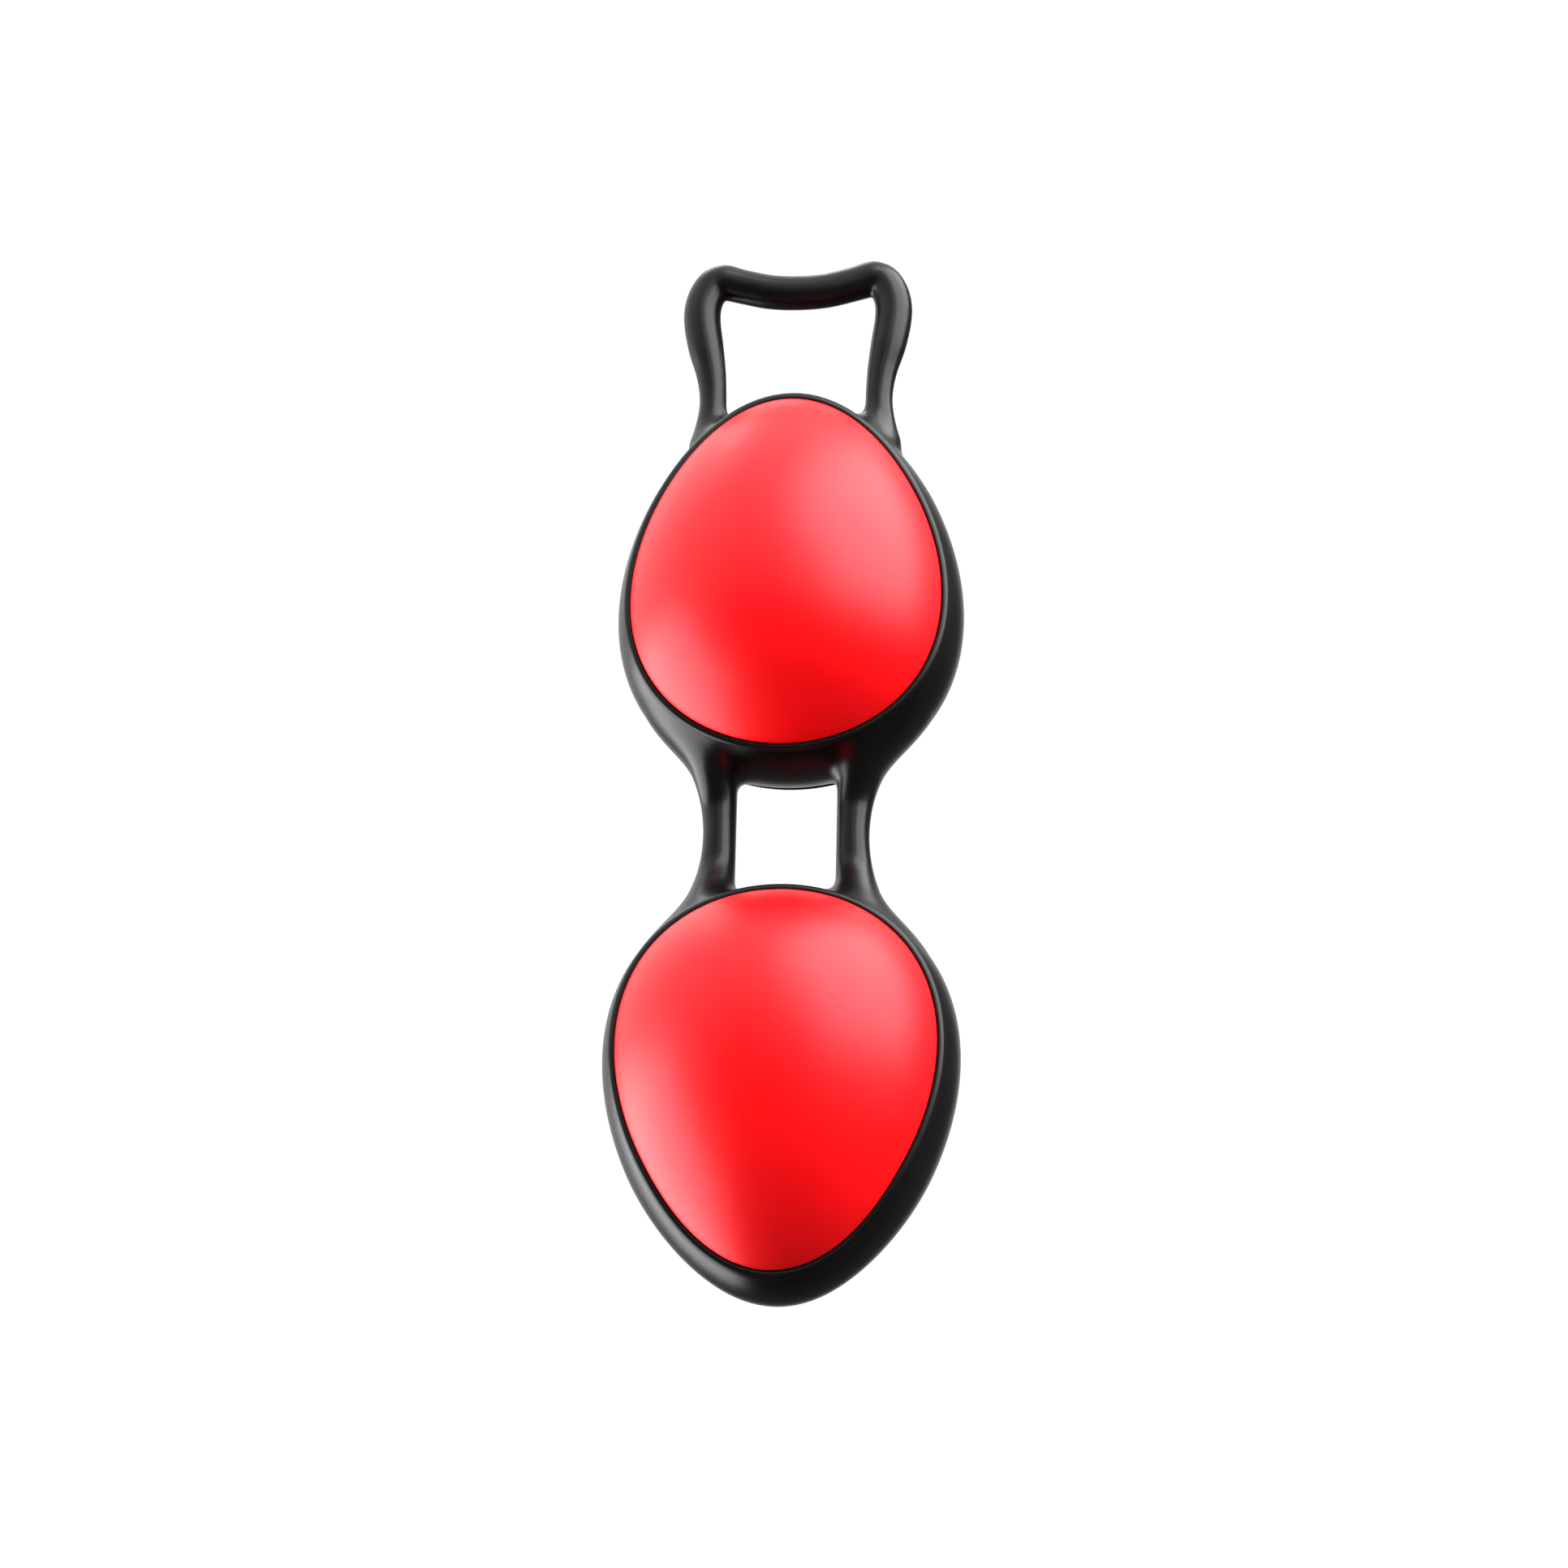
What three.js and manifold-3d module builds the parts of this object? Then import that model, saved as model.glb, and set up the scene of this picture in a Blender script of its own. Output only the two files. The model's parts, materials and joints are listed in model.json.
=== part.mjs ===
// Double weighted pelvic-floor trainer: two egg-shaped weighted pods held by
// one elastomer carrier, which has a pull loop at the top and two flexible
// struts between the pods. Millimetres, +Z up along the long axis. The origin
// is under the middle of the pull loop's crossbar, where a hook or finger
// carries the trainer. The pods' domed faces look along -Y and +Y.

import * as THREE from 'three';
import { mergeVertices } from 'three/addons/utils/BufferGeometryUtils.js';
import Module from 'manifold-3d';

const wasm = await Module();
wasm.setup();

// ---- driving dimensions -----------------------------------------------------

const GAP = 0.3;                 // clearance between pieces that touch

const egg = {
  width: 17.05,                  // outline x = width * cos(a) * (1 - taper * sin(a))
  length: 20.9,                  // outline z = length * sin(a), narrow end at +Z
  taper: 0.19,
};
const podDrop = 32.7;            // hang point down to the upper egg's centre
const podPitch = 55.4;           // between the egg centres, the fat ends facing

const band = {
  depth: 5.9,                    // half the band's breadth, along Y
  lipDepth: 0.6,                 // the lip laps over the cover by this much
  crown: 0.75,                   // how far its middle stands outside the egg's outline
  // Outer face from the lip to the shoulder: [distance from y = 0, offset from the egg].
  side: [[5.9, -0.45], [5.6, 0.1], [3.2, 0.55]],
};
const skin = {
  cover: 1.9,                    // soft-touch cover
  rebate: 1.2,                   // taken off the cover where the band lies on it
  shell: 1.5,                    // hard capsule
  seal: 1.6,                     // seal strip between the capsule halves, along Y
};
const ball = {
  radius: 10,
  fatStop: -6.7,                 // the ball's centre in the egg, resting in the fat end
  narrowStop: 4.8,               // and in the narrow end
};

const strut = {
  inner: 5.2,                    // half the window between the two struts
  knuckle: 1.8,                  // radius of the bending section
  bend: 4.0,                     // bending axes above and below the struts' middle
  // Outer sides: [half-width over both struts, height from their middle].
  side: [[8.65, GAP / 2], [8.73, 1.6], [9.4, 4.0], [9.7, 5.8]],
  stubSide: [[9.7, 6.1], [10.3, 7.7], [11.6, 10.1], [9.4, 11.8]],
};
const chin = {                   // the band's thickening between the two stubs
  halfWidth: 4.9,
  halfDepth: 3.0,
  z: [-22.3, -15.9],             // from the egg's centre
};

const loop = {
  radius: 1.7,                   // the loop's round section
  pivotDrop: 11.5,               // hang point down to the legs' bending axis
  // Centre line of the right half, from the bending axis up to the crossbar: [x, z].
  legs: [[9.0, -11.5], [9.05, -9.4], [9.6, -6.4], [10.2, -3.6], [10.3, -1.0],
    [9.6, 1.8], [8.0, 2.9], [5.4, 2.3]],
  // Outline of the right leg's root: [x, depth under its top].
  root: [[11.7, 4.2], [10.8, 0], [7.3, 0], [6.4, 3.2]],
};

const colour = {
  red: 0xe3000b,
  black: 0x17171a,
  capsule: 0xe9e6df,
  seal: 0x3b3d42,
  steel: 0xb9bcc0,
};

// ---- materials ----------------------------------------------------------------

const material = (color, roughness, metalness = 0) =>
  new THREE.MeshStandardMaterial({ color, roughness, metalness });

const looks = {
  cover: () => material(colour.red, 0.55),
  carrier: () => material(colour.black, 0.4),
  capsule: () => material(colour.capsule, 0.45),
  seal: () => material(colour.seal, 0.7),
  ball: () => material(colour.steel, 0.2, 1),
};

// ---- solids -------------------------------------------------------------------

// A closed three.js geometry as a manifold solid.
function solid(geometry) {
  const bare = geometry.clone();
  bare.deleteAttribute('normal');
  bare.deleteAttribute('uv');
  const merged = mergeVertices(bare, 1e-4);
  const corners = merged.index.array;
  const kept = [];
  for (let i = 0; i < corners.length; i += 3) {
    const [a, b, c] = corners.slice(i, i + 3);
    if (a !== b && b !== c && c !== a) kept.push(a, b, c);
  }
  return new wasm.Manifold(new wasm.Mesh({
    numProp: 3,
    vertProperties: Float32Array.from(merged.attributes.position.array),
    triVerts: Uint32Array.from(kept),
  }));
}

function toGeometry(body) {
  const mesh = body.getMesh();
  const geometry = new THREE.BufferGeometry();
  geometry.setAttribute('position', new THREE.BufferAttribute(mesh.vertProperties, 3));
  geometry.setIndex(new THREE.BufferAttribute(mesh.triVerts, 1));
  geometry.computeVertexNormals();
  return geometry;
}

function block(x, y, z) {
  const [wide, deep, high] = [x, y, z].map(([low, up]) => up - low);
  const geometry = new THREE.BoxGeometry(wide, deep, high);
  geometry.translate(...[x, y, z].map(([low, up]) => (low + up) / 2));
  return solid(geometry);
}

// An outline in the XZ plane, extruded to y = -half..half.
function plateXZ(points, half) {
  const shape = new THREE.Shape(points.map(([x, z]) => new THREE.Vector2(x, z)));
  const geometry = new THREE.ExtrudeGeometry(shape, { depth: 2 * half, bevelEnabled: false });
  geometry.rotateX(Math.PI / 2);
  geometry.translate(0, half, 0);
  return solid(geometry);
}

const FAR = 40;                  // past every surface of one pod

// ---- the egg ------------------------------------------------------------------

// A point of the egg's outline, moved outward by offset.
function eggPoint(angle, offset) {
  const { width, length, taper } = egg;
  const [sin, cos] = [Math.sin(angle), Math.cos(angle)];
  const normal = new THREE.Vector2(length * cos, width * (sin + taper * Math.cos(2 * angle)));
  const point = new THREE.Vector2(width * cos * (1 - taper * sin), length * sin);
  return point.addScaledVector(normal.normalize(), offset);
}

// The egg turned about its long axis, grown by offset.
function eggSolid(offset, steps = 12, sectors = 24) {
  const profile = [];
  for (let i = 0; i <= steps; i++) {
    const point = eggPoint(-Math.PI / 2 + (Math.PI * i) / steps, offset);
    if (i === 0 || i === steps) point.x = 0;
    profile.push(point);
  }
  const geometry = new THREE.LatheGeometry(profile, sectors, Math.PI / sectors);
  geometry.rotateX(Math.PI / 2);
  return solid(geometry);
}

// A flat egg-shaped disc whose edge follows layers of [y, offset].
function eggDisc(layers, around = 36) {
  const positions = [];
  const index = [];
  for (const [y, offset] of layers) {
    for (let i = 0; i < around; i++) {
      const point = eggPoint((2 * Math.PI * i) / around, offset);
      positions.push(point.x, y, point.y);
    }
  }
  for (let layer = 0; layer < layers.length - 1; layer++) {
    for (let i = 0; i < around; i++) {
      const a = layer * around + i;
      const b = layer * around + ((i + 1) % around);
      index.push(a, a + around, b, b, a + around, b + around);
    }
  }
  const last = (layers.length - 1) * around;
  for (let i = 1; i < around - 1; i++) {
    index.push(0, i, i + 1);
    index.push(last, last + i + 1, last + i);
  }
  const geometry = new THREE.BufferGeometry();
  geometry.setAttribute('position', new THREE.Float32BufferAttribute(positions, 3));
  geometry.setIndex(index);
  return solid(geometry);
}

// ---- pieces of one pod, narrow end up, centred on the egg ----------------------

const sides = ['front', 'rear'];

// Everything on one side of y = 0, at least `from` away from it.
function halfSpace(which, from) {
  const y = which === 'front' ? [-FAR, -from] : [from, FAR];
  return block([-FAR, FAR], y, [-FAR, FAR]);
}

const slab = (half) => block([-FAR, FAR], [-half, half], [-FAR, FAR]);

// Soft-touch cover: full thickness in the window, rebated under the band.
function cover(which) {
  const lipFloor = band.depth - GAP;
  const dome = eggSolid(0).subtract(slab(lipFloor));
  const tucked = eggSolid(-skin.rebate).intersect(slab(lipFloor + GAP));
  return dome.add(tucked).subtract(eggSolid(-skin.cover)).intersect(halfSpace(which, GAP / 2));
}

const shellOuter = -(skin.cover + GAP);
const shellInner = shellOuter - skin.shell;

const capsuleWall = () => eggSolid(shellOuter, 9, 16).subtract(eggSolid(shellInner, 9, 16));

const capsule = (which) => capsuleWall().intersect(halfSpace(which, skin.seal / 2 + GAP));

const seamSeal = () => capsuleWall().intersect(slab(skin.seal / 2));

// The carrier's ring round one pod, with the roots of the two struts.
function carrierRing(extras) {
  const layers = [
    ...band.side.map(([y, offset]) => [-y, offset]),
    [0, band.crown],
    ...band.side.toReversed(),
  ];
  const bore = eggSolid(GAP - skin.rebate);
  const lipBore = eggSolid(GAP).subtract(slab(band.depth - band.lipDepth));
  const outside = extras.reduce((body, extra) => body.add(extra), eggDisc(layers));
  return outside.subtract(bore).subtract(lipBore);
}

const strutMiddle = podPitch / 2;                        // from an egg's centre

// A strut's outline: its outer side, closed along the straight inner side.
function strutOutline(side, sign, drop = 0) {
  const ends = [side.at(-1), side[0]].map(([, z]) => [strut.inner, z]);
  return [...side, ...ends].map(([x, z]) => [sign * x, z - drop]);
}

// Chin and two stubs under the fat end, which the struts bend from.
function strutRoots() {
  const { halfWidth, halfDepth, z } = chin;
  const stub = (sign) => plateXZ(strutOutline(strut.stubSide, sign, strutMiddle), strut.knuckle);
  return [stub(-1), stub(1), block([-halfWidth, halfWidth], [-halfDepth, halfDepth], z)];
}

// Pads over the narrow end, which the loop's legs bend from.
function loopRoots() {
  const top = podDrop - loop.pivotDrop - loop.radius - GAP;
  const pad = (sign) => plateXZ(loop.root.map(([x, deep]) => [sign * x, top - deep]), loop.radius);
  return [pad(-1), pad(1)];
}

// ---- struts and loop -------------------------------------------------------------

// One half of a strut, about z = 0 at the struts' middle, bending axis above.
function strutHalf(sign) {
  const { side, knuckle, bend } = strut;
  const front = plateXZ(strutOutline(side, sign), knuckle);
  const profile = new THREE.Shape();
  profile.moveTo(-knuckle, 0);
  profile.lineTo(knuckle, 0);
  profile.lineTo(knuckle, bend);
  profile.absarc(0, bend, knuckle, 0, Math.PI, false);
  const geometry = new THREE.ExtrudeGeometry(profile,
    { depth: 2 * FAR, bevelEnabled: false, curveSegments: 10 });
  geometry.translate(0, 0, -FAR);
  geometry.rotateX(Math.PI / 2);
  geometry.rotateZ(Math.PI / 2);
  return front.intersect(solid(geometry));
}

// The pull loop: round section, two ears and a dipped crossbar.
function pullLoop() {
  const { radius, legs, pivotDrop } = loop;
  const left = legs.map(([x, z]) => new THREE.Vector3(-x, 0, z));
  const right = legs.map(([x, z]) => new THREE.Vector3(x, 0, z)).reverse();
  const path = new THREE.CatmullRomCurve3([...left, new THREE.Vector3(0, 0, radius), ...right],
    false, 'catmullrom', 0.5);
  const section = new THREE.Shape();
  section.absarc(0, 0, radius, 0, 2 * Math.PI, false);
  const tube = new THREE.ExtrudeGeometry(section,
    { extrudePath: path, steps: 36, curveSegments: 5, bevelEnabled: false });
  const knuckle = (sign) => {
    const geometry = new THREE.CylinderGeometry(radius, radius, 2 * radius, 16);
    geometry.rotateZ(Math.PI / 2);
    geometry.translate(sign * legs[0][0], 0, -pivotDrop);
    return solid(geometry);
  };
  return solid(tube).add(knuckle(-1)).add(knuckle(1));
}

// ---- assembly ----------------------------------------------------------------------

const group = new THREE.Group();

function addPiece(name, body, look, place = {}) {
  const mesh = new THREE.Mesh(toGeometry(body), look());
  mesh.name = name;
  mesh.position.set(0, 0, place.z ?? 0);
  mesh.rotation.y = place.turned ? Math.PI : 0;
  group.add(mesh);
}

function addPod(name, place, ringExtras, ballStop) {
  addPiece(`${name}_carrier_ring`, carrierRing(ringExtras), looks.carrier, place);
  for (const which of sides) {
    addPiece(`${name}_${which}_cover`, cover(which), looks.cover, place);
    addPiece(`${name}_${which}_capsule`, capsule(which), looks.capsule, place);
  }
  addPiece(`${name}_seam_seal`, seamSeal(), looks.seal, place);
  const sphere = new THREE.SphereGeometry(ball.radius, 16, 10);
  sphere.translate(0, 0, ballStop);
  addPiece(`${name}_weight_ball`, solid(sphere), looks.ball, place);
}

const upper = { z: -podDrop };
const lower = { z: -podDrop - podPitch, turned: true };
const middle = -podDrop - strutMiddle;

addPiece('pull_loop', pullLoop(), looks.carrier);
addPod('upper', upper, [...strutRoots(), ...loopRoots()], ball.fatStop);
for (const [hand, sign] of [['left', -1], ['right', 1]]) {
  addPiece(`${hand}_strut_upper_half`, strutHalf(sign), looks.carrier, { z: middle });
  addPiece(`${hand}_strut_lower_half`, strutHalf(-sign), looks.carrier, { z: middle, turned: true });
}
addPod('lower', lower, strutRoots(), ball.narrowStop);

export default group;
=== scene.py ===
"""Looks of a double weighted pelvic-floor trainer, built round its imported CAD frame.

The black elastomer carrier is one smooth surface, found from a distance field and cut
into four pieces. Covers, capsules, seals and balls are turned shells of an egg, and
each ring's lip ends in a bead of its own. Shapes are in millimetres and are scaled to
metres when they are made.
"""

import json
import math

import bmesh
import bpy
import numpy as np
from mathutils import Matrix, Vector


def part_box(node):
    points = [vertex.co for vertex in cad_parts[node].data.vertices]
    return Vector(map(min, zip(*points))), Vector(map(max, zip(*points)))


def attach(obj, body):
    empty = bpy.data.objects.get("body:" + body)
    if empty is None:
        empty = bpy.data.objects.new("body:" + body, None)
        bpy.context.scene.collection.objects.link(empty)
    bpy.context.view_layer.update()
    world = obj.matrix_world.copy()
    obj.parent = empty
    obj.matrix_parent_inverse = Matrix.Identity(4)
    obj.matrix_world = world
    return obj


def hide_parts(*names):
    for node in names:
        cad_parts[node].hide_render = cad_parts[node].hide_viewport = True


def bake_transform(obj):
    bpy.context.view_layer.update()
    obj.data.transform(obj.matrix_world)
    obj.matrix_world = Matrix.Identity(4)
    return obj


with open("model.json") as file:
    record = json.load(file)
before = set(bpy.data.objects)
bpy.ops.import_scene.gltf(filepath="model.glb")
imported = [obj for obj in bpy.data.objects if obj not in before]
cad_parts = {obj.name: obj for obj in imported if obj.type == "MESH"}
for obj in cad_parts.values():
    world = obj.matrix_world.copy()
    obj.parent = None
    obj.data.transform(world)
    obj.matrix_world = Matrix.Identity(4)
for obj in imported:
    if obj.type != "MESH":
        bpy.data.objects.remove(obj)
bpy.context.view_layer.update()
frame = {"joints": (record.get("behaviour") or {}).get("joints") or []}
MM = 0.001

# ---- places, from the frame -------------------------------------------------------

JOINTS = {joint["name"]: joint for joint in frame["joints"]}


def joint_height(name):
    """Height of a joint's axis, in millimetres."""
    return JOINTS[name]["pos_m"][2] / MM


def box_middle(node):
    """Middle of a node's box, in millimetres."""
    low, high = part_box(node)
    return (np.array(low) + np.array(high)) / (2 * MM)


LOOP_PIVOT = joint_height("loop_fold")
UPPER_BEND = joint_height("link_fold_upper")
MIDDLE = joint_height("link_twist")
LOWER_BEND = joint_height("link_fold_lower")
BEND_ARM = UPPER_BEND - MIDDLE
# Each pod's egg centre and the way its narrow end points.
PODS = {
    "upper": (box_middle("upper_seam_seal")[2], 1),
    "lower": (box_middle("lower_seam_seal")[2], -1),
}

# ---- driving dimensions, in millimetres ----------------------------------------------

EGG_WIDTH = 17.05       # outline x = width * cos(a) * (1 - taper * sin(a))
EGG_LENGTH = 20.9       # outline z = length * sin(a)
EGG_TAPER = 0.19

RING_HALF = 5.95        # half the ring's breadth along Y
RING_TAPER = 0.8        # how much less that is at the narrow end
TAPER_SPAN = (8.0, 20.0)    # heights over the egg's centre where it narrows
RING_CROWN = 0.8        # crown of the ring over the egg's outline
TIP_THINNER = 0.3       # how much lower the crown is at the narrow end
RING_DROOP = 1.55       # how much lower the ring's shoulders lie than its crown
RING_EDGE = 0.6         # blend size of the lip's rounded edge
RING_FLOOR = 1.1        # how deep the ring sits in the cover's rebate
RING_ROUND = 0.3        # blend size of its inner edges

STRUT_INNER = 5.2       # half the window between the struts
STRUT_OUTER = 8.6       # half-width over the struts at their middle
STRUT_FLARE = 17.0      # radius of the concave outer sides
STRUT_REACH = 12.0      # struts run this far from their middle, into the rings
STRUT_FADE = 3.0        # and thin out over this length
STRUT_DEPTH = (2.1, 4.2)    # half-depth at the middle and at the rings
STRUT_BLEND = 2.0       # fillet of the struts into the rings
STRUT_POWER = 2.2       # 2 makes an oval section, more makes it squarer

BAR_RADIUS = 1.85
LEG_BLEND = 2.4         # fillet of the loop's legs into the ring
EAR_BLEND = 0.3         # and of the crossbar into the ears
# Right leg's centre line and radius, from the root up to the ear.
LEG = [
    (9.2, -16.0, 1.9), (8.95, -12.6, 1.5), (8.95, -10.2, 1.45), (9.25, -7.6, 1.62),
    (9.85, -4.7, 1.9), (10.3, -1.9, 1.98), (10.3, 0.0, 1.98), (9.85, 1.6, 1.95),
    (9.05, 2.75, 1.9), (7.9, 3.1, 1.82), (6.5, 2.72, 1.65),
]
# Right half of the dipped crossbar.
BAR = [(0.0, 1.6), (3.0, 1.8), (5.8, 2.45), (8.0, 3.05)]

COVER = 1.9             # cover thickness
CAPSULE = 1.5           # capsule wall
CLEAR = 0.3             # gap between one layer and the next
SEAM = 0.26             # open seam between a cover's rim and the ring's lip
LIP_RADIUS = 0.34       # the thin raised bead that the lip ends in
LIP_STAND = 0.2         # its middle, over the egg
LIP_DEPTH = -0.04       # and in front of the ring's face
SEAL_HALF = 0.8         # half the seal strip's breadth along Y
BALL_RADIUS = 10.0

# ---- the egg -----------------------------------------------------------------------

TABLE_STEP = 0.1
TABLE_R = np.arange(0.0, 27.0, TABLE_STEP)
TABLE_Z = np.arange(-31.0, 31.0, TABLE_STEP)


def egg_curve(angle):
    """Outline point and its slope at an angle, in the half-plane of radius and height."""
    sin, cos = np.sin(angle), np.cos(angle)
    point = np.stack([EGG_WIDTH * cos * (1 - EGG_TAPER * sin), EGG_LENGTH * sin], -1)
    slope = np.stack([-EGG_WIDTH * (sin + EGG_TAPER * np.cos(2 * angle)), EGG_LENGTH * cos], -1)
    return point, slope


def egg_table():
    """Signed distance to the egg's outline over a half-plane, negative inside."""
    r, z = np.meshgrid(TABLE_R, TABLE_Z, indexing="ij")
    spots = np.stack([r.ravel(), z.ravel()], -1)
    guesses = np.linspace(-math.pi / 2, math.pi / 2, 91)
    coarse, _ = egg_curve(guesses)
    nearest = np.empty(len(spots), int)
    for start in range(0, len(spots), 20000):
        part = spots[start:start + 20000]
        gaps = ((part[:, None, :] - coarse[None]) ** 2).sum(-1)
        nearest[start:start + 20000] = gaps.argmin(1)
    angle = guesses[nearest]
    for _ in range(6):
        point, slope = egg_curve(angle)
        step = ((spots - point) * slope).sum(-1) / (slope ** 2).sum(-1)
        angle = np.clip(angle + np.clip(step, -0.05, 0.05), -math.pi / 2, math.pi / 2)
    point, _ = egg_curve(angle)
    distance = np.linalg.norm(spots - point, axis=1)
    sin = np.clip(spots[:, 1] / EGG_LENGTH, -1, 1)
    radius = EGG_WIDTH * np.sqrt(1 - sin ** 2) * (1 - EGG_TAPER * sin)
    inside = (np.abs(spots[:, 1]) < EGG_LENGTH) & (spots[:, 0] < radius)
    return np.where(inside, -distance, distance).reshape(r.shape)


EGG_TABLE = egg_table()


def egg_distance(r, z):
    """Signed distance to the egg at radius r and height z over its centre."""
    u = np.clip((r - TABLE_R[0]) / TABLE_STEP, 0, len(TABLE_R) - 1.001)
    v = np.clip((z - TABLE_Z[0]) / TABLE_STEP, 0, len(TABLE_Z) - 1.001)
    i, j = u.astype(int), v.astype(int)
    u, v = u - i, v - j
    low = EGG_TABLE[i, j] * (1 - v) + EGG_TABLE[i, j + 1] * v
    high = EGG_TABLE[i + 1, j] * (1 - v) + EGG_TABLE[i + 1, j + 1] * v
    return low * (1 - u) + high * u


# ---- the carrier's distance field -----------------------------------------------------

def smooth_min(a, b, size):
    """Union of two fields, with a fillet of the given size."""
    near = np.maximum(size - np.abs(a - b), 0) / size
    return np.minimum(a, b) - near ** 2 * size / 4


def smooth_max(a, b, size):
    return -smooth_min(-a, -b, size)


def smooth_step(value, start, end):
    t = np.clip((value - start) / (end - start), 0, 1)
    return t * t * (3 - 2 * t)


def ring_field(x, y, z, pod):
    """One ring with its lips, proud of the egg's outline and narrower at the tip."""
    centre, way = PODS[pod]
    height = way * (z - centre)
    outline = egg_distance(np.abs(x), height)
    narrow = smooth_step(height, *TAPER_SPAN)
    half = RING_HALF - RING_TAPER * narrow
    crown = RING_CROWN - TIP_THINNER * narrow - RING_DROOP * (y / half) ** 2
    return smooth_max(outline - crown, np.abs(y) - half, RING_EDGE)


def egg_bore(x, y, z, pod):
    """Distance into the space that the pod fills inside its ring."""
    centre, way = PODS[pod]
    return -(egg_distance(np.hypot(x, y), way * (z - centre)) + RING_FLOOR)


def strut_field(x, y, z):
    """Both struts: oval bars whose outer sides flare into the rings."""
    away = np.abs(z - MIDDLE)
    reach = np.clip(away, 0, STRUT_REACH + 1)
    outer = STRUT_OUTER + STRUT_FLARE - np.sqrt(STRUT_FLARE ** 2 - reach ** 2)
    half_width = (outer - STRUT_INNER) / 2
    middle = (outer + STRUT_INNER) / 2
    half_depth = STRUT_DEPTH[0] + (STRUT_DEPTH[1] - STRUT_DEPTH[0]) * smooth_step(away, 2.5, 8.5)
    across = np.abs(np.abs(x) - middle) / half_width
    deep = np.abs(y) / half_depth
    shell = (across ** STRUT_POWER + deep ** STRUT_POWER) ** (1 / STRUT_POWER) - 1
    bar = shell * np.minimum(half_width, half_depth)
    return smooth_max(bar, away - STRUT_REACH, STRUT_FADE)


def spline(points, per_span=24):
    """Catmull-Rom curve through the points, whatever their number of columns."""
    points = np.array(points, float)
    padded = np.vstack([2 * points[0] - points[1], points, 2 * points[-1] - points[-2]])
    t = np.linspace(0, 1, per_span, endpoint=False)[:, None]
    rows = []
    for a, b, c, d in zip(padded, padded[1:], padded[2:], padded[3:]):
        rows.append(0.5 * (2 * b + (c - a) * t + (2 * a - 5 * b + 4 * c - d) * t ** 2
                           + (3 * b - a - 3 * c + d) * t ** 3))
    return np.vstack(rows + [points[-1:]])


LEG_LINE = spline(LEG)
BAR_LINE = spline([(-x, z, BAR_RADIUS) for x, z in BAR[:0:-1]]
                  + [(x, z, BAR_RADIUS) for x, z in BAR])


def rod_field(x, y, z, line):
    """A round rod of changing radius along a line in the XZ plane."""
    best = np.full(x.shape, np.inf)
    start, end = line[:-1], line[1:]
    for (ax, az, ar), (bx, bz, br) in zip(start, end):
        ux, uz = bx - ax, bz - az
        t = np.clip(((x - ax) * ux + (z - az) * uz) / (ux * ux + uz * uz), 0, 1)
        gap = (x - ax - t * ux) ** 2 + (z - az - t * uz) ** 2 + y * y
        best = np.minimum(best, np.sqrt(gap) - (ar + (br - ar) * t))
    return best


def loop_field(x, y, z):
    """Pull loop: two legs that turn over in ears, and the bar that joins them."""
    legs = rod_field(np.abs(x), y, z, LEG_LINE)
    return smooth_min(legs, rod_field(x, y, z, BAR_LINE), EAR_BLEND)


def carrier_field(x, y, z):
    """The whole carrier, negative inside the rubber."""
    upper = ring_field(x, y, z, "upper")
    lower = ring_field(x, y, z, "lower")
    body = np.minimum(upper, lower)
    near = np.abs(z - MIDDLE) < STRUT_REACH + 5
    body[near] = smooth_min(body[near], strut_field(x[near], y[near], z[near]), STRUT_BLEND)
    near = z > LOOP_PIVOT - 9
    body[near] = smooth_min(body[near], loop_field(x[near], y[near], z[near]), LEG_BLEND)
    hollow = np.maximum(egg_bore(x, y, z, "upper"), egg_bore(x, y, z, "lower"))
    return smooth_max(body, hollow, RING_ROUND)


# ---- surface of a field ----------------------------------------------------------------

def surface_nets(values, origin, step):
    """Quads on the zero surface of a sampled field: one vertex in each crossed cell."""
    inside = values < 0
    cells = tuple(n - 1 for n in values.shape)
    total = np.zeros(cells + (3,))
    count = np.zeros(cells)
    corner = [(i, j, k) for i in (0, 1) for j in (0, 1) for k in (0, 1)]
    edges = [(a, b) for a in corner for b in corner if sum(q - p for p, q in zip(a, b)) == 1
             and all(q >= p for p, q in zip(a, b))]
    window = lambda at: tuple(slice(s, s + n) for s, n in zip(at, cells))
    for a, b in edges:
        crossed = inside[window(a)] != inside[window(b)]
        va, vb = values[window(a)][crossed], values[window(b)][crossed]
        share = (va / (va - vb))[:, None]
        total[crossed] += np.array(a) + share * (np.array(b) - np.array(a))
        count[crossed] += 1
    used = count > 0
    number = np.full(cells, -1)
    number[used] = np.arange(used.sum())
    verts = (np.argwhere(used) + total[used] / count[used][:, None]) * step + origin
    quads = []
    for axis in range(3):
        u, v = [other for other in range(3) if other != axis]
        low = [slice(1, -1)] * 3
        low[axis] = slice(0, -1)
        high = list(low)
        high[axis] = slice(1, None)
        a, b = inside[tuple(low)], inside[tuple(high)]
        for rising in (True, False):
            at = np.argwhere(a & ~b if rising else ~a & b)
            at = at + np.array([0 if other == axis else 1 for other in range(3)])
            turn = [(0, 0), (1, 0), (1, 1), (0, 1)]
            if rising == (axis == 1):
                turn.reverse()
            face = []
            for du, dv in turn:
                cell = at.copy()
                cell[:, u] -= du
                cell[:, v] -= dv
                face.append(number[cell[:, 0], cell[:, 1], cell[:, 2]])
            quads.append(np.stack(face, -1))
    return verts, np.vstack(quads)


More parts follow.
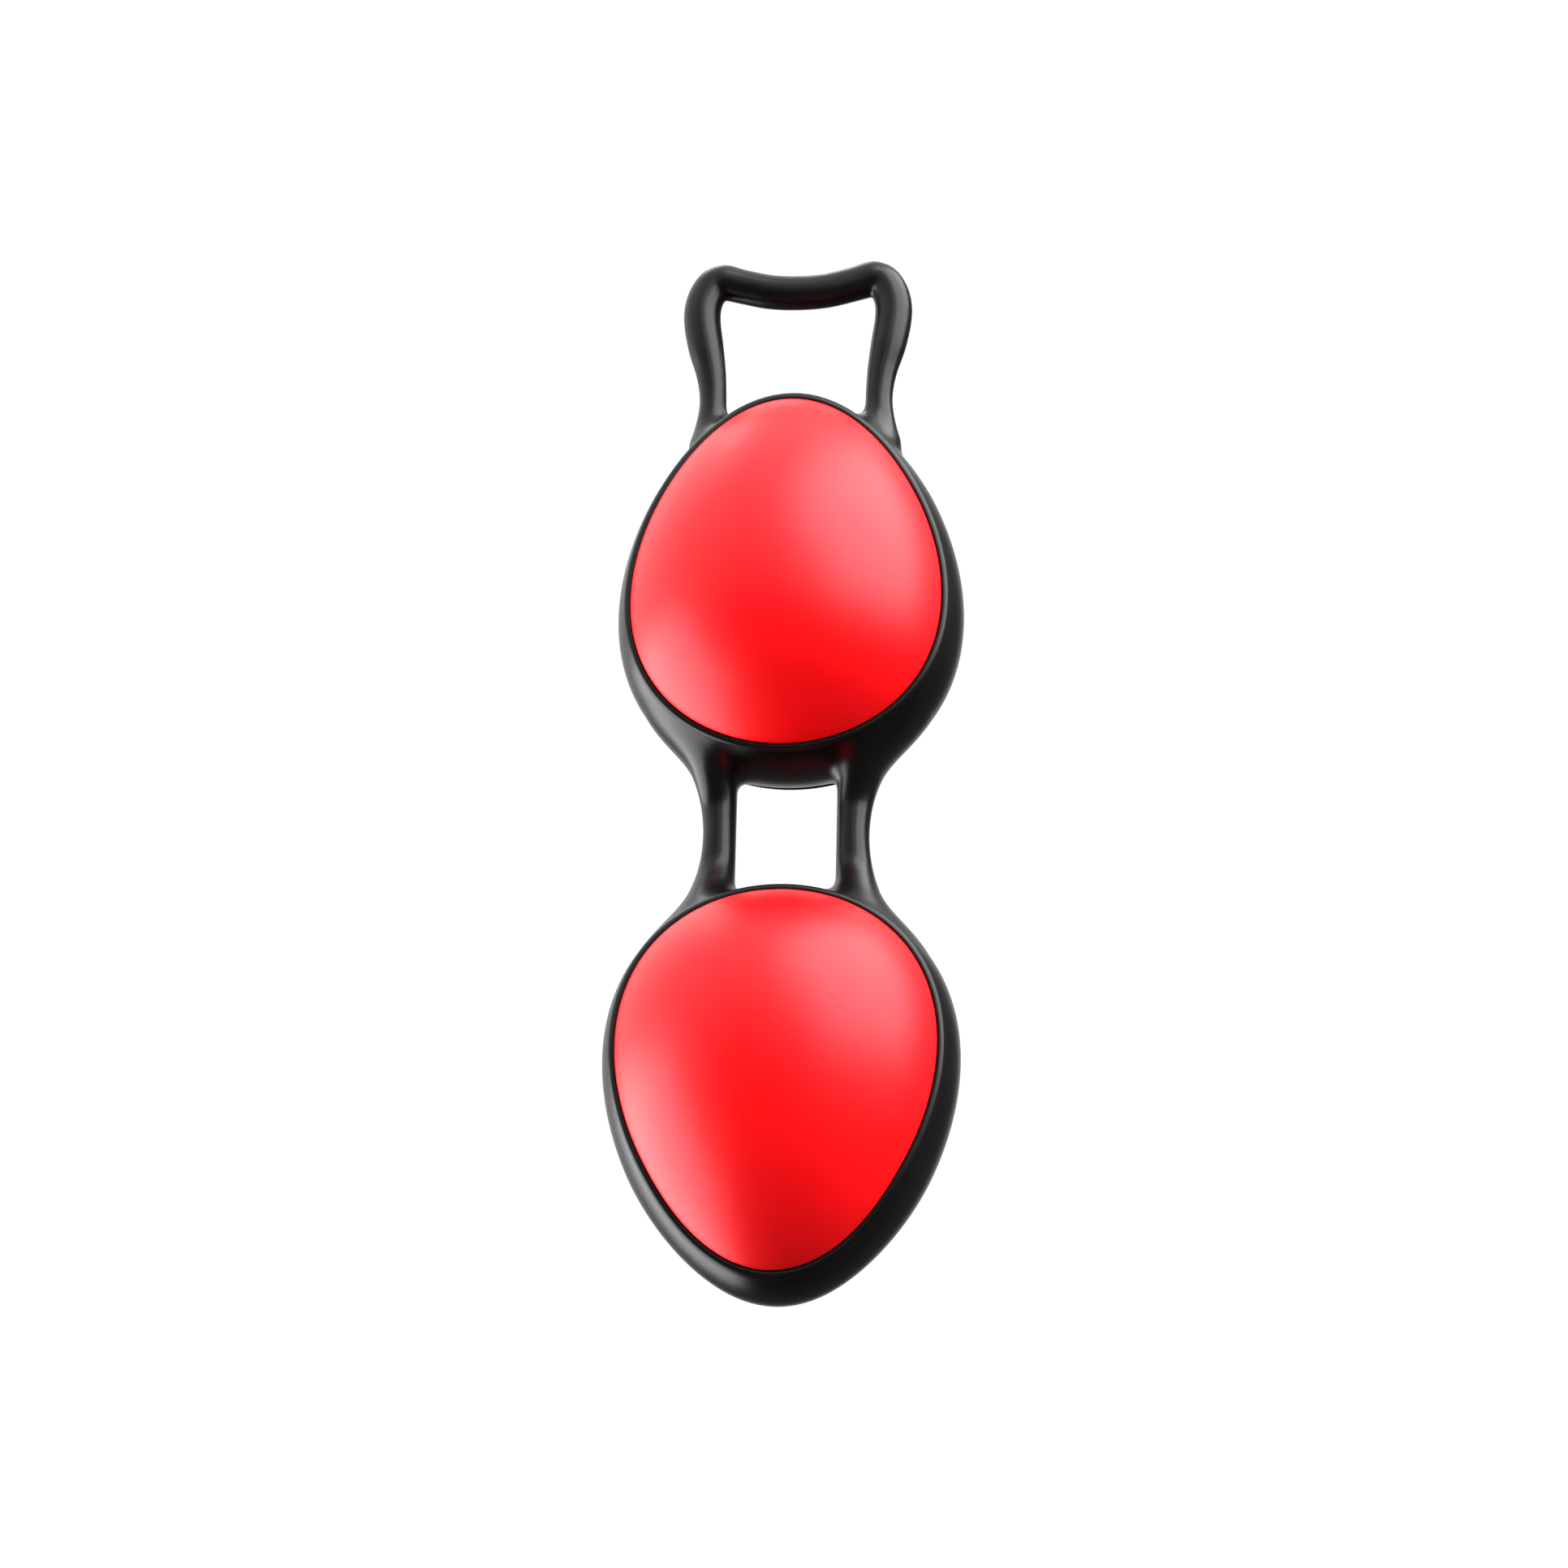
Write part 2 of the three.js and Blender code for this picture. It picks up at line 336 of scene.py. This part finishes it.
def field_slope(field, verts, reach=0.02):
    """Gradient of a field at each vertex."""
    slope = np.empty_like(verts)
    for axis in range(3):
        shift = np.zeros(3)
        shift[axis] = reach
        slope[:, axis] = (field(*(verts + shift).T) - field(*(verts - shift).T)) / (2 * reach)
    return slope


def settle(field, verts, quads, rounds=3):
    """Evens out the mesh and puts each vertex exactly on the field's surface."""
    for _ in range(rounds):
        total = np.zeros_like(verts)
        count = np.zeros(len(verts))
        for k in range(4):
            a, b = quads[:, k], quads[:, (k + 1) % 4]
            for p, q in ((a, b), (b, a)):
                np.add.at(total, p, verts[q])
                np.add.at(count, p, 1)
        verts = verts + 0.5 * (total / count[:, None] - verts)
        for _ in range(2):
            slope = field_slope(field, verts)
            value = field(*verts.T)
            verts = verts - (value / np.maximum((slope ** 2).sum(-1), 0.2))[:, None] * slope
    return verts


# ---- meshes ----------------------------------------------------------------------------

def new_piece(name, verts, faces, material, slot):
    """A smooth-shaded object from millimetre vertices."""
    mesh = bpy.data.meshes.new(name)
    mesh.from_pydata((np.asarray(verts) * MM).tolist(), [], [list(map(int, f)) for f in faces])
    mesh.validate()
    mesh.update()
    for polygon in mesh.polygons:
        polygon.use_smooth = True
    mesh.materials.append(material)
    piece = bpy.data.objects.new(name, mesh)
    bpy.context.scene.collection.objects.link(piece)
    return piece


def cap_and_clean(mesh):
    """Closes the cut ends with flat faces whose edges are sharp."""
    work = bmesh.new()
    work.from_mesh(mesh)
    rim = [edge for edge in work.edges if edge.is_boundary]
    for edge in rim:
        edge.smooth = False
    made = bmesh.ops.holes_fill(work, edges=rim, sides=0)["faces"]
    for face in made:
        face.smooth = False
    bmesh.ops.triangulate(work, faces=made)
    bmesh.ops.recalc_face_normals(work, faces=work.faces)
    work.to_mesh(mesh)
    work.free()
    mesh.update()


FIELD_STEP = 0.28        # grid step that the carrier's surface is found on
CUT_LEGS = LOOP_PIVOT - 1.9
CROWN_SIDE = 6.7         # between the legs, the ring's crown up to CROWN_TOP
CROWN_TOP = -10.5        # stays with the ring
TWIST_SHARE = 0.75       # the middle piece is cut off at this share of the way to the bends
BEND_SHARE = 0.85        # and this share of the arm reaches beyond them
CUT_UPPER = MIDDLE + TWIST_SHARE * BEND_ARM
CUT_LOWER = MIDDLE - TWIST_SHARE * BEND_ARM


def carrier_region(centre):
    """Which of the carrier's four pieces a point belongs to."""
    x, z = centre[0], centre[2]
    if z > CUT_LEGS * MM and (abs(x) > CROWN_SIDE * MM or z > CROWN_TOP * MM):
        return "loop"
    if z > CUT_UPPER * MM:
        return "upper"
    return "middle" if z > CUT_LOWER * MM else "lower"


def sample_field(step, slab=24):
    """The carrier's field on a grid that holds it all, filled one slab at a time."""
    origin = np.array([-20.0, -7.0, PODS["lower"][0] - EGG_LENGTH - 2.5])
    far = np.array([20.0, 7.0, 7.0])
    size = np.ceil((far - origin) / step).astype(int) + 1
    axes = [origin[k] + step * np.arange(size[k]) for k in range(3)]
    values = np.empty(tuple(size), np.float64)
    for k in range(0, size[2], slab):
        x, y, z = np.meshgrid(axes[0], axes[1], axes[2][k:k + slab], indexing="ij")
        values[:, :, k:k + slab] = carrier_field(x, y, z)
    return values, origin


def carrier_pieces(step, material):
    """The carrier's smooth surface, cut into its four pieces."""
    values, origin = sample_field(step)
    verts, quads = surface_nets(values, origin, step)
    verts = settle(carrier_field, verts, quads)
    work = bmesh.new()
    mesh = bpy.data.meshes.new("carrier")
    mesh.from_pydata((verts * MM).tolist(), [], quads.tolist())
    work.from_mesh(mesh)
    for height in (CUT_LEGS, CUT_UPPER, CUT_LOWER):
        everything = work.verts[:] + work.edges[:] + work.faces[:]
        bmesh.ops.bisect_plane(work, geom=everything, dist=1e-7,
                               plane_co=(0, 0, height * MM), plane_no=(0, 0, 1))
    work.to_mesh(mesh)
    work.free()
    where = [carrier_region(polygon.center) for polygon in mesh.polygons]
    corners = [list(polygon.vertices) for polygon in mesh.polygons]
    points = np.array([vertex.co for vertex in mesh.vertices]) / MM
    pieces = {}
    for region in ("loop", "upper", "middle", "lower"):
        faces = [face for face, at in zip(corners, where) if at == region]
        used = np.unique(np.concatenate([np.array(face) for face in faces]))
        renumber = {int(old): new for new, old in enumerate(used)}
        faces = [[renumber[v] for v in face] for face in faces]
        piece = new_piece(f"carrier_{region}", points[used], faces, material, "carrier")
        cap_and_clean(piece.data)
        pieces[region] = piece
    bpy.data.meshes.remove(mesh)
    return pieces


# ---- turned shells -------------------------------------------------------------------------

SECTORS = 144
EGG_HUB = -2.0           # height in the egg that the shells' meridians start from


def ray_to_egg(direction_in, direction_out, offset, start):
    """Distance along each ray from the egg's axis to the egg grown by offset."""
    low, high = np.zeros(direction_out.shape), np.full(direction_out.shape, 30.0)
    for _ in range(40):
        reach = (low + high) / 2
        r_x = reach * direction_in[0]
        r_y = start + reach * direction_out
        r_z = reach * direction_in[1] + EGG_HUB
        beyond = egg_distance(np.hypot(r_x, r_y), r_z) > offset
        high = np.where(beyond, reach, high)
        low = np.where(beyond, low, reach)
    return (low + high) / 2


def turned_ring(around, lean, offset):
    """A shell's points that lie lean radians from the front pole."""
    lean = np.broadcast_to(lean, around.shape)
    flat, deep = np.sin(lean), np.cos(lean)
    reach = ray_to_egg((flat * np.cos(around), flat * np.sin(around)), deep, offset, 0.0)
    return np.stack([reach * flat * np.cos(around), -reach * deep,
                     reach * flat * np.sin(around) + EGG_HUB], -1)


def level_ring(around, depth, offset, taper=0.0):
    """A shell's points at a depth along Y, which the taper lessens at the narrow end."""
    cos, sin = np.cos(around), np.sin(around)
    level = np.full(around.shape, float(depth))
    for _ in range(4):
        reach = ray_to_egg((cos, sin), np.zeros_like(around), offset, level)
        height = reach * sin + EGG_HUB
        level = depth - taper * smooth_step(height, *TAPER_SPAN)
    return np.stack([reach * cos, -level, height], -1)


def dome_rows(edge, around, offset, rows):
    """Rings of a dome from near its pole down to its edge."""
    lean = np.arctan2(np.hypot(edge[:, 0], edge[:, 2] - EGG_HUB), -edge[:, 1])
    return [turned_ring(around, lean * (k / rows), offset) for k in range(1, rows)]


def shell_of_rows(rows, outer_pole, inner_pole):
    """Closed mesh: pole, rings and pole."""
    verts = np.vstack([outer_pole[None], *rows, inner_pole[None]])
    faces = []
    n = SECTORS
    for i in range(n):
        j = (i + 1) % n
        faces.append((0, 1 + j, 1 + i))
        for row in range(len(rows) - 1):
            a, b = 1 + row * n, 1 + (row + 1) * n
            faces.append((a + i, a + j, b + j, b + i))
        last = 1 + (len(rows) - 1) * n
        faces.append((last + i, last + j, len(verts) - 1))
    return verts, faces


def half_shell(outer, inner, edge, rows=44):
    """A half egg: outer and inner domes, joined at the rim by (depth, offset, taper)."""
    around = np.linspace(0, 2 * math.pi, SECTORS, endpoint=False)
    rim = [level_ring(around, *corner) for corner in edge]
    outside = dome_rows(rim[0], around, outer, rows)
    inside = dome_rows(rim[-1], around, inner, rows // 2)[::-1]
    poles = [turned_ring(np.zeros(1), 0.0, offset)[0] for offset in (outer, inner)]
    return shell_of_rows(outside + rim + inside, *poles)


def closed_band(edge):
    """A ring round the egg, its section given as for level_ring."""
    around = np.linspace(0, 2 * math.pi, SECTORS, endpoint=False)
    rows = [level_ring(around, *corner) for corner in edge]
    verts = np.vstack(rows)
    n = SECTORS
    faces = []
    for row in range(len(rows)):
        a, b = row * n, ((row + 1) % len(rows)) * n
        for i in range(n):
            j = (i + 1) % n
            faces.append((a + i, a + j, b + j, b + i))
    return verts, faces


def arc(centre, radius, start, end, steps):
    """Points of a round corner, as (depth, offset) pairs."""
    turn = np.radians(np.linspace(start, end, steps))
    return [(centre[0] + radius * math.cos(a), centre[1] + radius * math.sin(a)) for a in turn]


def place(verts, faces, pod, rear=False):
    """Moves a shell into its pod, keeping its faces outward."""
    centre, way = PODS[pod]
    verts = verts * [1, -1 if rear else 1, way] + [0, 0, centre]
    if (way < 0) != rear:
        faces = [face[::-1] for face in faces]
    return verts, faces


def cover_shell():
    """Cover: crowned dome, a rolled rim over the ring's lip, then the tucked skirt."""
    rim = RING_HALF + SEAM
    roll = 0.18
    skirt = RING_FLOOR + CLEAR
    edge = [(rim + roll, 0.0)]
    edge += arc((rim + roll, -roll), roll, 90, 180, 7)[1:]
    edge += [(rim, -RING_FLOOR - 0.1), (rim - 0.3, -skirt)]
    edge = [(*corner, RING_TAPER) for corner in edge]
    return half_shell(0.0, -COVER, edge + [(CLEAR / 2, -skirt), (CLEAR / 2, -COVER)])


def lip_bead():
    """The thin raised bead of the ring's lip, round a cover's rim."""
    corners = arc((RING_HALF + LIP_DEPTH, LIP_STAND), LIP_RADIUS, 0, 360, 17)[:-1]
    return closed_band([(*corner, RING_TAPER) for corner in corners])


def capsule_shell():
    outer = -(COVER + CLEAR)
    inner = outer - CAPSULE
    foot = SEAL_HALF + CLEAR
    edge = [(foot + 0.25, outer), (foot, outer - 0.25), (foot, inner + 0.25), (foot + 0.25, inner)]
    return half_shell(outer, inner, edge, rows=28)


def seal_band():
    """Seal strip with a rounded section."""
    outer = -(COVER + CLEAR)
    middle = outer - CAPSULE / 2
    corner = 0.3
    edge = []
    for y_side, o_side, start in ((1, 1, 0), (-1, 1, 90), (-1, -1, 180), (1, -1, 270)):
        at = (y_side * (SEAL_HALF - corner), middle + o_side * (CAPSULE / 2 - corner))
        edge += arc(at, corner, start, start + 90, 4)
    return closed_band(edge)


def ball_mesh(centre, rows=64, flat=0.035):
    """A ground steel ball, with a tiny flat of that many radians at each pole."""
    around = np.linspace(0, 2 * math.pi, SECTORS, endpoint=False)
    lean = np.linspace(flat, math.pi - flat, rows)
    rings = [np.stack([BALL_RADIUS * math.sin(a) * np.cos(around),
                       np.full(SECTORS, -BALL_RADIUS * math.cos(a)),
                       BALL_RADIUS * math.sin(a) * np.sin(around)], -1) for a in lean]
    pole = np.array([0, -BALL_RADIUS * math.cos(flat), 0])
    verts, faces = shell_of_rows(rings, pole, -pole)
    return verts + centre, faces


# ---- materials --------------------------------------------------------------------------------

def bare_material(name, color, roughness, **sockets):
    material = bpy.data.materials.new(name)
    material.use_nodes = True
    shader = material.node_tree.nodes["Principled BSDF"]
    shader.inputs["Base Color"].default_value = (*color, 1)
    shader.inputs["Roughness"].default_value = roughness
    for socket, value in sockets.items():
        shader.inputs[socket.replace("_", " ")].default_value = value
    return material, shader


def noise(material, scale, detail=2.0, roughness=0.5):
    """A noise texture in object space, with the scale in features per metre."""
    nodes, links = material.node_tree.nodes, material.node_tree.links
    coords = nodes.new("ShaderNodeTexCoord")
    texture = nodes.new("ShaderNodeTexNoise")
    texture.inputs["Scale"].default_value = scale
    texture.inputs["Detail"].default_value = detail
    texture.inputs["Roughness"].default_value = roughness
    links.new(coords.outputs["Object"], texture.inputs["Vector"])
    return texture


def ramp(material, source, stops):
    """Colour ramp from a texture's value."""
    node = material.node_tree.nodes.new("ShaderNodeValToRGB")
    elements = node.color_ramp.elements
    for element, (position, color) in zip(elements, stops):
        element.position = position
        element.color = (*color, 1)
    material.node_tree.links.new(source.outputs["Fac"], node.inputs["Fac"])
    return node


def spread(material, source, low, high):
    """Maps a texture's middle range to low..high."""
    node = material.node_tree.nodes.new("ShaderNodeMapRange")
    node.inputs["From Min"].default_value = 0.3
    node.inputs["From Max"].default_value = 0.7
    node.inputs["To Min"].default_value = low
    node.inputs["To Max"].default_value = high
    material.node_tree.links.new(source.outputs["Fac"], node.inputs["Value"])
    return node


def bump(material, shader, source, strength, distance, below=None):
    node = material.node_tree.nodes.new("ShaderNodeBump")
    node.inputs["Strength"].default_value = strength
    node.inputs["Distance"].default_value = distance
    links = material.node_tree.links
    links.new(source.outputs["Fac"], node.inputs["Height"])
    if below:
        links.new(below.outputs["Normal"], node.inputs["Normal"])
    links.new(node.outputs["Normal"], shader.inputs["Normal"])
    return node


def soft_touch_red():
    material, shader = bare_material("soft_touch_red", (0.92, 0.0, 0.002), 0.42,
                                     Specular_IOR_Level=0.31, Sheen_Weight=0.03,
                                     Sheen_Roughness=0.4)
    shader.inputs["Sheen Tint"].default_value = (1.0, 0.6, 0.65, 1)
    shader.inputs["Specular Tint"].default_value = (1.0, 0.86, 1.0, 1)
    links = material.node_tree.links
    clouds = noise(material, 160)
    tint = ramp(material, clouds, [(0.35, (0.9, 0.0, 0.001)), (0.65, (0.94, 0.0, 0.003))])
    links.new(tint.outputs["Color"], shader.inputs["Base Color"])
    grain = noise(material, 5200, 3.0, 0.6)
    rough = spread(material, grain, 0.38, 0.46)
    links.new(rough.outputs["Result"], shader.inputs["Roughness"])
    bump(material, shader, grain, 0.34, 0.00004)
    return material


def carrier_rubber():
    material, shader = bare_material("carrier_rubber", (0.002, 0.002, 0.0022), 0.32,
                                     Specular_IOR_Level=0.24)
    links = material.node_tree.links
    clouds = noise(material, 220)
    tint = ramp(material, clouds,
                [(0.35, (0.0015, 0.0015, 0.0017)), (0.65, (0.003, 0.003, 0.0033))])
    links.new(tint.outputs["Color"], shader.inputs["Base Color"])
    grain = noise(material, 3600, 3.0, 0.6)
    rough = spread(material, grain, 0.28, 0.36)
    links.new(rough.outputs["Result"], shader.inputs["Roughness"])
    bump(material, shader, grain, 0.15, 0.00003)
    return material


def capsule_plastic():
    material, shader = bare_material("capsule_plastic", (0.8, 0.78, 0.72), 0.4,
                                     Subsurface_Weight=0.1)
    grain = noise(material, 2600, 2.0)
    rough = spread(material, grain, 0.36, 0.46)
    material.node_tree.links.new(rough.outputs["Result"], shader.inputs["Roughness"])
    bump(material, shader, grain, 0.12, 0.00004)
    return material


def seal_rubber():
    material, shader = bare_material("seal_rubber", (0.05, 0.05, 0.055), 0.6)
    grain = noise(material, 4200, 3.0)
    rough = spread(material, grain, 0.55, 0.7)
    material.node_tree.links.new(rough.outputs["Result"], shader.inputs["Roughness"])
    bump(material, shader, grain, 0.2, 0.00005)
    return material


def ball_steel():
    material, shader = bare_material("ball_steel", (0.62, 0.63, 0.65), 0.16, Metallic=1.0)
    lines = noise(material, 900, 6.0, 0.7)
    rough = spread(material, lines, 0.1, 0.24)
    material.node_tree.links.new(rough.outputs["Result"], shader.inputs["Roughness"])
    bump(material, shader, lines, 0.05, 0.00002)
    return material


# ---- camera, lights and stage --------------------------------------------------------------

VIEW_AZIMUTH = 6.0               # degrees, and so are the next two
VIEW_ELEVATION = -19.8
VIEW_ROLL = 1.3
VIEW_DISTANCE = 0.435            # metres
LENS = 96.6                      # millimetres, on a 36 mm wide sensor
AIM = (-0.00035, 0, -0.0547)     # a little under the middle of the link


def direction(azimuth, elevation):
    """Unit vector from the object towards an azimuth and elevation in degrees."""
    a, e = math.radians(azimuth), math.radians(elevation)
    return Vector((math.sin(a) * math.cos(e), -math.cos(a) * math.cos(e), math.sin(e)))


def look_at(obj, spot, target, roll=0.0):
    obj.location = spot
    turn = (Vector(target) - Vector(spot)).to_track_quat("-Z", "Y").to_matrix()
    obj.rotation_euler = (turn @ Matrix.Rotation(math.radians(roll), 3, "Z")).to_euler()


def make_camera():
    data = bpy.data.cameras.new("camera")
    data.lens = LENS
    data.sensor_width = 36
    data.clip_start = 0.01
    data.clip_end = 20
    camera = bpy.data.objects.new("camera", data)
    bpy.context.scene.collection.objects.link(camera)
    spot = Vector(AIM) + direction(VIEW_AZIMUTH, VIEW_ELEVATION) * VIEW_DISTANCE
    look_at(camera, spot, AIM, VIEW_ROLL)
    bpy.context.scene.camera = camera


SOFTBOX_DISTANCE = 0.8           # metres from the trainer's middle
SOFTBOXES = {                    # direction, size in metres, power in watts
    "key_right": ((0.70, -0.37, 0.62), (1.15, 1.1), 32),
    "fill_left": ((-0.89, 0.16, -0.42), (1.0, 0.95), 21),
    "strip_front": ((0.09, -0.92, 0.34), (0.03, 0.45), 0.5),
    "strip_top": ((-0.27, 0.34, 0.86), (0.4, 0.03), 0.8),
}


def softbox(name, towards, size, power):
    data = bpy.data.lights.new(name, "AREA")
    data.shape = "RECTANGLE"
    data.size, data.size_y = size
    data.energy = power
    light = bpy.data.objects.new(name, data)
    bpy.context.scene.collection.objects.link(light)
    centre = Vector((0, 0, MIDDLE * MM))
    look_at(light, centre + Vector(towards).normalized() * SOFTBOX_DISTANCE, centre)
    light.visible_camera = False


def field_of(world, towards, span, levels):
    """Strength that rises smoothly round a direction, from levels[0] to levels[1]."""
    nodes, links = world.node_tree.nodes, world.node_tree.links
    coords = nodes.new("ShaderNodeTexCoord")
    lean = nodes.new("ShaderNodeVectorMath")
    lean.operation = "DOT_PRODUCT"
    lean.inputs[1].default_value = Vector(towards).normalized()
    fade = nodes.new("ShaderNodeMapRange")
    fade.interpolation_type = "SMOOTHSTEP"
    fade.inputs["From Min"].default_value, fade.inputs["From Max"].default_value = span
    fade.inputs["To Min"].default_value, fade.inputs["To Max"].default_value = levels
    links.new(coords.outputs["Generated"], lean.inputs[0])
    links.new(lean.outputs["Value"], fade.inputs["Value"])
    return fade.outputs["Result"]


def make_world():
    """A dim studio with a white screen behind the object and a pale wall to its left."""
    world = bpy.data.worlds.new("studio")
    bpy.context.scene.world = world
    world.use_nodes = True
    behind = -direction(VIEW_AZIMUTH, VIEW_ELEVATION)
    screen = field_of(world, behind, (0.86, 0.95), (0.12, 1.05))
    wall = field_of(world, (-0.5, -0.05, 0.86), (0.05, 1.0), (0.0, 1.9))
    nodes, links = world.node_tree.nodes, world.node_tree.links
    brightest = nodes.new("ShaderNodeMath")
    brightest.operation = "MAXIMUM"
    links.new(screen, brightest.inputs[0])
    links.new(wall, brightest.inputs[1])
    links.new(brightest.outputs[0], nodes["Background"].inputs["Strength"])
    nodes["Background"].inputs["Color"].default_value = (1, 1, 1, 1)


def make_floor(half=9.0, height=-0.62, rows=24):
    """Pale floor, well below the hanging trainer. It throws no light back on to it."""
    span = np.linspace(-half, half, rows)
    verts = [(x, y, height) for y in span for x in span]
    faces = [(r * rows + c, r * rows + c + 1, (r + 1) * rows + c + 1, (r + 1) * rows + c)
             for r in range(rows - 1) for c in range(rows - 1)]
    mesh = bpy.data.meshes.new("floor")
    mesh.from_pydata(verts, [], faces)
    material, _ = bare_material("floor_paint", (0.7, 0.7, 0.7), 0.7)
    mesh.materials.append(material)
    floor = bpy.data.objects.new("floor", mesh)
    bpy.context.scene.collection.objects.link(floor)
    floor.visible_diffuse = floor.visible_glossy = False


# ---- the object ----------------------------------------------------------------------------

LEG_BEND = (3.0, -1.8)   # a span round the loop's pivot


def make_carrier(material):
    pieces = carrier_pieces(FIELD_STEP, material)
    strut_half = BEND_SHARE * BEND_ARM

    def span(piece, a, b, start, end):
        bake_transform(piece)

    leg_start, leg_end = (LOOP_PIVOT + reach for reach in LEG_BEND)
    span(pieces["loop"], "loop", "upper_pod", leg_start, leg_end)
    span(pieces["upper"], "upper_pod", "link_upper", UPPER_BEND + strut_half, CUT_UPPER)
    span(pieces["middle"], "link_upper", "link_lower", CUT_UPPER, CUT_LOWER)
    span(pieces["lower"], "link_lower", "lower_pod", CUT_LOWER, LOWER_BEND - strut_half)
    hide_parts("pull_loop")
    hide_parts("upper_carrier_ring")
    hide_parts("left_strut_upper_half", "right_strut_upper_half",
                "left_strut_lower_half", "right_strut_lower_half")
    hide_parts("lower_carrier_ring")


def make_pod(pod, looks):
    body = f"{pod}_pod"

    def add(name, shape, look, slot, rear=False, stands_in=True):
        piece = new_piece(f"{pod}_{name}_skin", *place(*shape, pod, rear), looks[look], slot)
        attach(piece, body)
        if stands_in:
            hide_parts(f"{pod}_{name}")

    for name, rear in (("front", False), ("rear", True)):
        add(f"{name}_lip", lip_bead(), "black", "carrier", rear, stands_in=False)
        add(f"{name}_cover", cover_shell(), "red", "cover", rear)
        add(f"{name}_capsule", capsule_shell(), "capsule", "capsule", rear)
    add("seam_seal", seal_band(), "seal", "seal")
    ball = new_piece(f"{pod}_weight_ball_skin", *ball_mesh(box_middle(f"{pod}_weight_ball")),
                     looks["steel"], "weight")
    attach(ball, f"{pod}_weight")
    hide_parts(f"{pod}_weight_ball")


def main():
    make_camera()
    looks = {
        "red": soft_touch_red(),
        "black": carrier_rubber(),
        "capsule": capsule_plastic(),
        "seal": seal_rubber(),
        "steel": ball_steel(),
    }
    make_carrier(looks["black"])
    for pod in PODS:
        make_pod(pod, looks)
    make_world()
    make_floor()
    for name, (towards, size, power) in SOFTBOXES.items():
        softbox(name, towards, size, power)
    bpy.context.scene.view_settings.view_transform = "Standard"


main()
